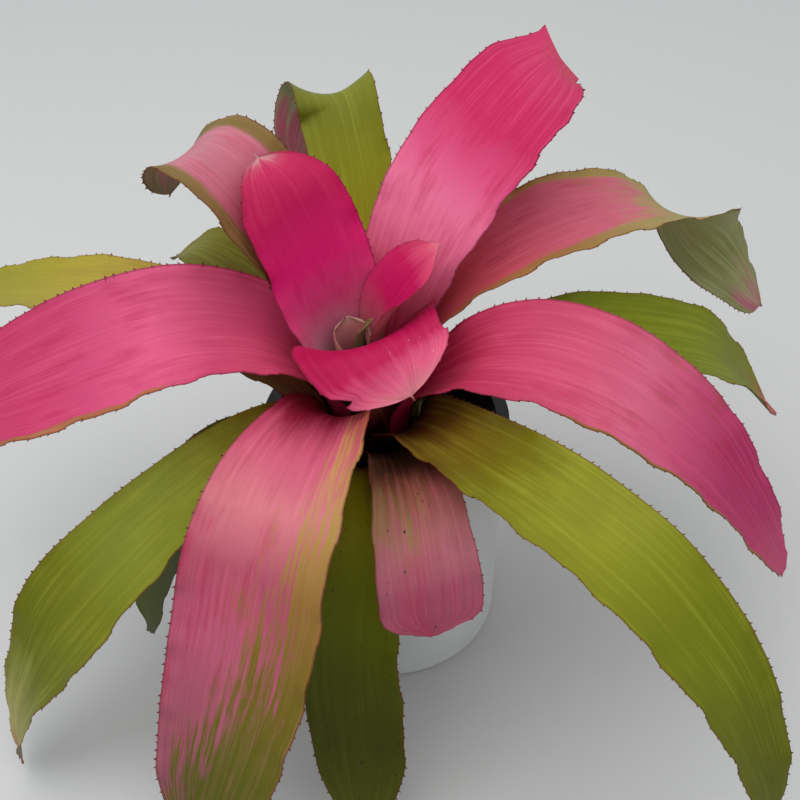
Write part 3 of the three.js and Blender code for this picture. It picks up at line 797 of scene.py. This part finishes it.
def leafSkin(name, leaf, length, number):
    finish = Finish(name)
    look = leafPattern(finish, leaf, length, number)
    u, v, side = look["u"], look["v"], look["side"]
    fine, streak, cloud = look["fine"], look["streak"], look["cloud"]
    slot = leaf["slot"]

    # lengthwise veins, darker and paler, and a broad mottling
    veins = leafPaint["veins"][slot]
    grain = fine * leafPaint["fineShade"] + streak * leafPaint["streakShade"] - leafPaint["evenShade"]
    shade = grain * veins + cloud * leafPaint["cloudShade"] + leafPaint["leastShade"]
    shades = finish.place(shade, shade * leafPaint["greenShade"], shade * leafPaint["blue"][slot])
    colour = finish.mix(1.0, look["colour"], shades, "MULTIPLY")
    # patches where the red is deeper
    patch = cloud * leafPaint["blushCloud"] + look["dapple"] * leafPaint["blushDapple"]
    deep = finish.smooth(patch, *leafPaint["blushEdge"]) * (1 - look["green"])
    colour = finish.mix(deep * leafPaint["blush"][slot], colour, paint(leafPaint["blushColour"]))
    glint = streak + fine * leafPaint["sheenFine"] + cloud * leafPaint["sheenCloud"]
    pale = finish.smooth(glint, *leafPaint["sheenEdge"]) * (leafPaint["sheenShare"] * veins)
    colour = finish.mix(pale, colour, paint(leafPaint["sheen"][slot]))
    if "spots" in leaf:
        where = finish.place(u * spots["wide"], v * (length / spots["long"]), number * spots["seed"])
        speck = finish.node("TexVoronoi", {}, {"Vector": where, "Scale": spots["scale"], "Randomness": 1.0})
        patches = finish.noise(where, spots["patchScale"], spots["patchDetail"])
        chosen = finish.smooth(patches, *spots["patchEdge"])
        spotted = (1 - finish.smooth(speck, *spots["edge"])) * chosen * leaf["spots"]
        colour = finish.mix(spotted, colour, paint(spots["colour"]))
    if "scars" in leaf:
        where = finish.place(u * scars["wide"] + v * scars["wideLean"],
                             v * scars["long"] - u * scars["longLean"], scars["seed"])
        scar = finish.smooth(finish.noise(where, 1, scars["detail"], scars["roughness"]), *scars["edge"])
        here = finish.smooth(u, *scars["side"]) * finish.smooth(v, *scars["from"])
        colour = finish.mix(scar * here * leaf["scars"], colour, paint(scars["colour"]))
    # the margin: a thin dark line, and the teeth past it
    margin = finish.smooth(side, *leafPaint["marginEdge"]) * leafPaint["marginShare"]
    colour = finish.mix(margin, colour, paint(leaf.get("edgeColour", leafPaint["marginColour"])))
    teeth = finish.smooth(side, *leafPaint["toothEdge"]) * leafPaint["toothShare"]
    colour = finish.mix(teeth, colour, paint(leafPaint["toothColour"]))
    height = fine * leafPaint["fineBump"] + streak * leafPaint["streakBump"]
    dull = leafPaint["roughness"] + cloud * leafPaint["cloudRoughness"]
    finish.surface({
        "Base Color": colour,
        "Roughness": dull + streak * leafPaint["streakRoughness"],
        "Specular IOR Level": leafPaint["shine"],
        "Normal": finish.bump(height, *leafPaint["bump"]),
    }, leafPaint["through"])
    return finish.material


def leafUnderside(name, leaf, length, number):
    finish = Finish(name)
    look = leafPattern(finish, leaf, length, number)
    fine, streak, cloud, side = look["fine"], look["streak"], look["cloud"], look["side"]
    # a thin whitish scurf over the leaf's own colour
    dust = streak * underPaint["streak"] + fine * underPaint["fine"] + cloud * underPaint["cloud"]
    scurf = finish.smooth(dust, *underPaint["edge"]) * finish.smooth(look["v"], *underPaint["from"])
    dusty = paint(leaf.get("scurf", underPaint["scurf"]))
    colour = finish.mix(scurf * underPaint["share"], look["colour"], dusty)
    margin = finish.smooth(side, *underPaint["marginEdge"]) * underPaint["marginShare"]
    colour = finish.mix(margin, colour, paint(leaf.get("edgeColour", leafPaint["marginColour"])))
    height = fine * underPaint["fineBump"] + streak * underPaint["streakBump"]
    finish.surface({
        "Base Color": colour,
        "Roughness": underPaint["roughness"] + scurf * underPaint["scurfRoughness"],
        "Specular IOR Level": leafPaint["shine"],
        "Normal": finish.bump(height, *leafPaint["bump"]),
    }, leafPaint["through"])
    return finish.material


def buildLeaves():
    for number, (name, leaf) in enumerate(leaves.items(), 1):
        buildLeaf(name, leaf, number)
    print("leaves ready:", len(leaves))


potEdges = {"segments": 3, "sharp": 35, "smooth": 40}


def turnedPot(name, rings, facets):
    # a disc whose rim is extruded ring by ring; rings are [radius, height]
    first = rings[0]
    bpy.ops.mesh.primitive_circle_add(vertices=facets, radius=first[0] * mm, location=(0, 0, first[1] * mm),
                                      fill_type="NGON")
    pot = bpy.context.object
    pot.name = name
    bpy.ops.object.transform_apply(location=True, rotation=True, scale=True)
    bpy.ops.object.mode_set(mode="EDIT")
    bpy.ops.mesh.select_mode(type="EDGE")
    bpy.ops.mesh.select_all(action="SELECT")
    last = first
    for ring in rings[1:]:
        bpy.ops.mesh.extrude_edges_move(TRANSFORM_OT_translate={"value": (0, 0, (ring[1] - last[1]) * mm)})
        if ring[0] != last[0]:
            share = ring[0] / last[0]
            bpy.ops.transform.resize(value=(share, share, 1), center_override=(0, 0, ring[1] * mm))
        last = ring
    bpy.ops.mesh.edge_face_add()
    bpy.ops.mesh.select_all(action="SELECT")
    bpy.ops.mesh.normals_make_consistent(inside=False)
    bpy.ops.object.mode_set(mode="OBJECT")
    return pot


def finishPot(pot, bevel, node, material):
    rounded = pot.modifiers.new("softEdges", "BEVEL")
    rounded.width = bevel * mm
    rounded.segments = potEdges["segments"]
    rounded.limit_method = "ANGLE"
    rounded.angle_limit = math.radians(potEdges["sharp"])
    bpy.context.view_layer.objects.active = pot
    bpy.ops.object.modifier_apply(modifier=rounded.name)
    bpy.ops.object.shade_smooth_by_angle(angle=math.radians(potEdges["smooth"]))
    pot.data.materials.append(material)
    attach(pot, "root")
    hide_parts(node)
    pot.select_set(False)


# noises are scale, detail and, in the mix, roughness; bump is strength and distance in metres
frosted = {
    "cloud": (18, 3), "grain": (900, 2), "colours": ("b4b6b4", "bec0be"),
    "roughness": 0.42, "cloudRoughness": 0.12, "shine": 0.4, "bump": (0.05, 0.0003),
}
black = {
    "dust": (60, 4), "grain": (700, 2), "colours": ("0d0d0e", "2a2724"),
    "dustEdge": (0.5, 0.8), "dustShare": 0.5,
    "roughness": 0.38, "dustRoughness": 0.25, "shine": 0.4, "bump": (0.1, 0.0003),
}


def frostedPlastic():
    finish = Finish("frostedPlastic")
    where = finish.ownPlace()
    cloud = finish.noise(where, *frosted["cloud"])
    grain = finish.noise(where, *frosted["grain"])
    plain, pale = frosted["colours"]
    finish.surface({
        "Base Color": finish.mix(cloud, paint(plain), paint(pale)),
        "Roughness": frosted["roughness"] + cloud * frosted["cloudRoughness"],
        "Specular IOR Level": frosted["shine"],
        "Normal": finish.bump(grain, *frosted["bump"]),
    })
    return finish.material


def blackPlastic():
    finish = Finish("blackPlastic")
    where = finish.ownPlace()
    dust = finish.noise(where, *black["dust"])
    grain = finish.noise(where, *black["grain"])
    clean, dusty = black["colours"]
    cover = finish.smooth(dust, *black["dustEdge"]) * black["dustShare"]
    finish.surface({
        "Base Color": finish.mix(cover, paint(clean), paint(dusty)),
        "Roughness": black["roughness"] + dust * black["dustRoughness"],
        "Specular IOR Level": black["shine"],
        "Normal": finish.bump(grain, *black["bump"]),
    })
    return finish.material


outerPot = {"radius": 78, "height": 172, "wall": 3, "floor": 6, "chamfer": 2, "facets": 128, "bevel": 0.8}
nurseryPot = {
    "foot": 14, "footRadius": 58, "under": 172.4, "topRadius": 73.5, "rimRadius": 80, "rimHeight": 4,
    "wall": 1.8, "floor": 2.5, "chamfer": 2, "facets": 128, "bevel": 0.6,
    "drainHoles": 6, "drainRadius": 6, "drainCircle": 40, "drainDepth": 12, "drainFacets": 24,
}


def buildOuterPot():
    outer = outerPot
    radius, height, chamfer = outer["radius"], outer["height"], outer["chamfer"]
    inside = radius - outer["wall"]
    pot = turnedPot("outerPot", [
        [radius - chamfer, 0], [radius, chamfer], [radius, height],
        [inside, height], [inside, outer["floor"] + chamfer], [inside - chamfer, outer["floor"]],
    ], outer["facets"])
    finishPot(pot, outer["bevel"], "outer_pot", frostedPlastic())


def buildNurseryPot():
    inner = nurseryPot
    foot, under, wall, chamfer = inner["foot"], inner["under"], inner["wall"], inner["chamfer"]
    top = under + inner["rimHeight"]
    pot = turnedPot("nurseryPot", [
        [inner["footRadius"] - chamfer, foot], [inner["footRadius"], foot + chamfer],
        [inner["topRadius"], under], [inner["rimRadius"], under], [inner["rimRadius"], top],
        [inner["topRadius"] - wall, top], [inner["topRadius"] - wall, under],
        [inner["footRadius"] - wall, foot + inner["floor"]],
    ], inner["facets"])
    circle = inner["drainCircle"] * mm
    for hole in range(inner["drainHoles"]):
        angle = 2 * math.pi * hole / inner["drainHoles"]
        place = (circle * math.cos(angle), circle * math.sin(angle), foot * mm)
        bpy.ops.mesh.primitive_cylinder_add(vertices=inner["drainFacets"], radius=inner["drainRadius"] * mm,
                                            depth=inner["drainDepth"] * mm, location=place)
        drill = bpy.context.object
        drilled = pot.modifiers.new("drain", "BOOLEAN")
        drilled.operation = "DIFFERENCE"
        drilled.object = drill
        bpy.context.view_layer.objects.active = pot
        bpy.ops.object.modifier_apply(modifier=drilled.name)
        bpy.data.objects.remove(drill)
    finishPot(pot, inner["bevel"], "nursery_pot", blackPlastic())


def buildPots():
    buildOuterPot()
    buildNurseryPot()
    print("pots ready")


mix = {
    "foot": 16.9, "footRadius": 56, "edge": 148, "edgeRadius": 68.8, "middle": 152, "reach": 40,
    "facets": 96, "bevel": 0.5,
    "seed": 7, "chips": 150, "innermost": 30, "outermost": 65,
    "slope": 29,                         # length over which the bed falls to its edge
    "long": (6, 15), "wide": (4, 8), "thick": (2, 4),
    "lean": (-0.35, 0.35),               # radians
    "proud": 0.8, "chipBevel": 0.9,
}
soil = {"lump": (120, 5, 0.7), "colours": ("120d0a", "3a2a1e"), "roughness": 0.95, "bump": (0.8, 0.003)}
bark = {
    "patch": (55, 2), "grain": (500, 4, 0.7), "colours": ("22140c", "5c3c24"),
    "patchShare": 0.7, "grainShare": 0.3, "edge": (0.35, 0.65), "roughness": 0.85, "bump": (0.6, 0.0008),
}
stem = {"lump": (200, 4), "colours": ("3a3020", "5c4c30"), "roughness": 0.85, "bump": (0.5, 0.001)}


def roughFinish(name, look):
    # dark and pale by one lumpy noise, which also lifts the surface
    finish = Finish(name)
    lump = finish.noise(finish.ownPlace(), *look["lump"])
    dark, pale = look["colours"]
    finish.surface({
        "Base Color": finish.mix(lump, paint(dark), paint(pale)),
        "Roughness": look["roughness"],
        "Normal": finish.bump(lump, *look["bump"]),
    })
    return finish.material


def barkFinish():
    finish = Finish("barkChips")
    where = finish.ownPlace()
    patch = finish.noise(where, *bark["patch"])
    grain = finish.noise(where, *bark["grain"])
    dark, pale = bark["colours"]
    tone = finish.smooth(patch * bark["patchShare"] + grain * bark["grainShare"], *bark["edge"])
    finish.surface({
        "Base Color": finish.mix(tone, paint(dark), paint(pale)),
        "Roughness": bark["roughness"],
        "Normal": finish.bump(grain, *bark["bump"]),
    })
    return finish.material


def buildMix():
    bed = turnedPot("mixBed", [[mix["footRadius"], mix["foot"]], [mix["edgeRadius"], mix["edge"]],
                               [mix["reach"], mix["middle"]]], mix["facets"])
    finishPot(bed, mix["bevel"], "potting_mix", roughFinish("pottingMix", soil))

    chance = random.Random(mix["seed"])
    made = []
    for _ in range(mix["chips"]):
        reach = math.sqrt(chance.uniform(mix["innermost"] ** 2, mix["outermost"] ** 2))
        angle = chance.uniform(0, 2 * math.pi)
        rise = mix["middle"] - (mix["middle"] - mix["edge"]) * max(0, reach - mix["reach"]) / mix["slope"]
        turn = [chance.uniform(*mix["lean"]), chance.uniform(*mix["lean"]), chance.uniform(0, math.pi)]
        size = [chance.uniform(*mix[side]) * mm for side in ("long", "wide", "thick")]
        place = (reach * math.cos(angle) * mm, reach * math.sin(angle) * mm, (rise + mix["proud"]) * mm)
        bpy.ops.mesh.primitive_cube_add(size=1, scale=size, rotation=turn, location=place)
        made.append(bpy.context.object)
    for chip in made:
        chip.select_set(True)
    bpy.ops.object.join()
    chips = bpy.context.object
    chips.name = "barkChips"
    bpy.ops.object.transform_apply(location=True, rotation=True, scale=True)
    finishPot(chips, mix["chipBevel"], "potting_mix", barkFinish())
    print("mix ready")


def dressStem():
    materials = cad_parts["crown_base"].data.materials
    materials.clear()
    materials.append(roughFinish("stemBase", stem))
    print("stem ready")


buildStudio()
buildPots()
buildMix()
dressStem()
buildLeaves()
